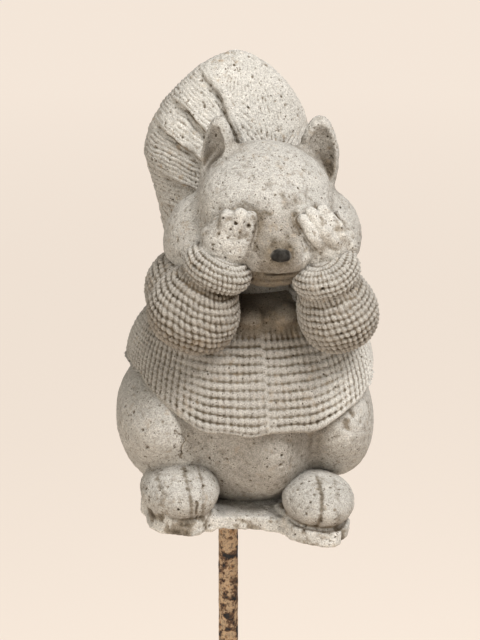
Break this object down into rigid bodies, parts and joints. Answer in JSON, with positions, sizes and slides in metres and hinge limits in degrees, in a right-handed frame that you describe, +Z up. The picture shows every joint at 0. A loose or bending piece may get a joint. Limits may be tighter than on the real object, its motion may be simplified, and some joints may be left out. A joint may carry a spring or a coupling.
{
  "type": "garden stake figure",
  "caption": "Cast-stone squirrel in a knitted jumper, hiding its eyes behind its paws, on a round steel rod that is pushed into soil. The figure turns on the rod and lifts off.",
  "frame": {"origin": "on the rod's axis at the soil line", "axes": "+Z up along the rod, the squirrel faces -Y, its own right side lies towards -X"},
  "size_m": [0.1012, 0.1092, 0.4038],
  "materials": {
    "stone": "rough, pitted, weathered",
    "nose_paint": "dark paint on stone, satin",
    "rusted_steel": "rusted, uncoated",
    "sleeve_plastic": "matte black"
  },
  "bodies": {
    "stake": {"stake_rod": "rusted_steel"},
    "sleeve": {"rod_sleeve": "sleeve_plastic"},
    "figure": {"squirrel_casting": "stone", "nose": "nose_paint"}
  },
  "joints": [
    {"name": "figure_turn", "type": "hinge", "parent": "stake", "child": "sleeve", "pos_m": [0, 0, 0.1], "axis": [0, 0, 1], "continuous": true},
    {"name": "figure_lift", "type": "slide", "parent": "sleeve", "child": "figure", "axis": [0, 0, 1], "range_m": [0, 0.06]}
  ]
}
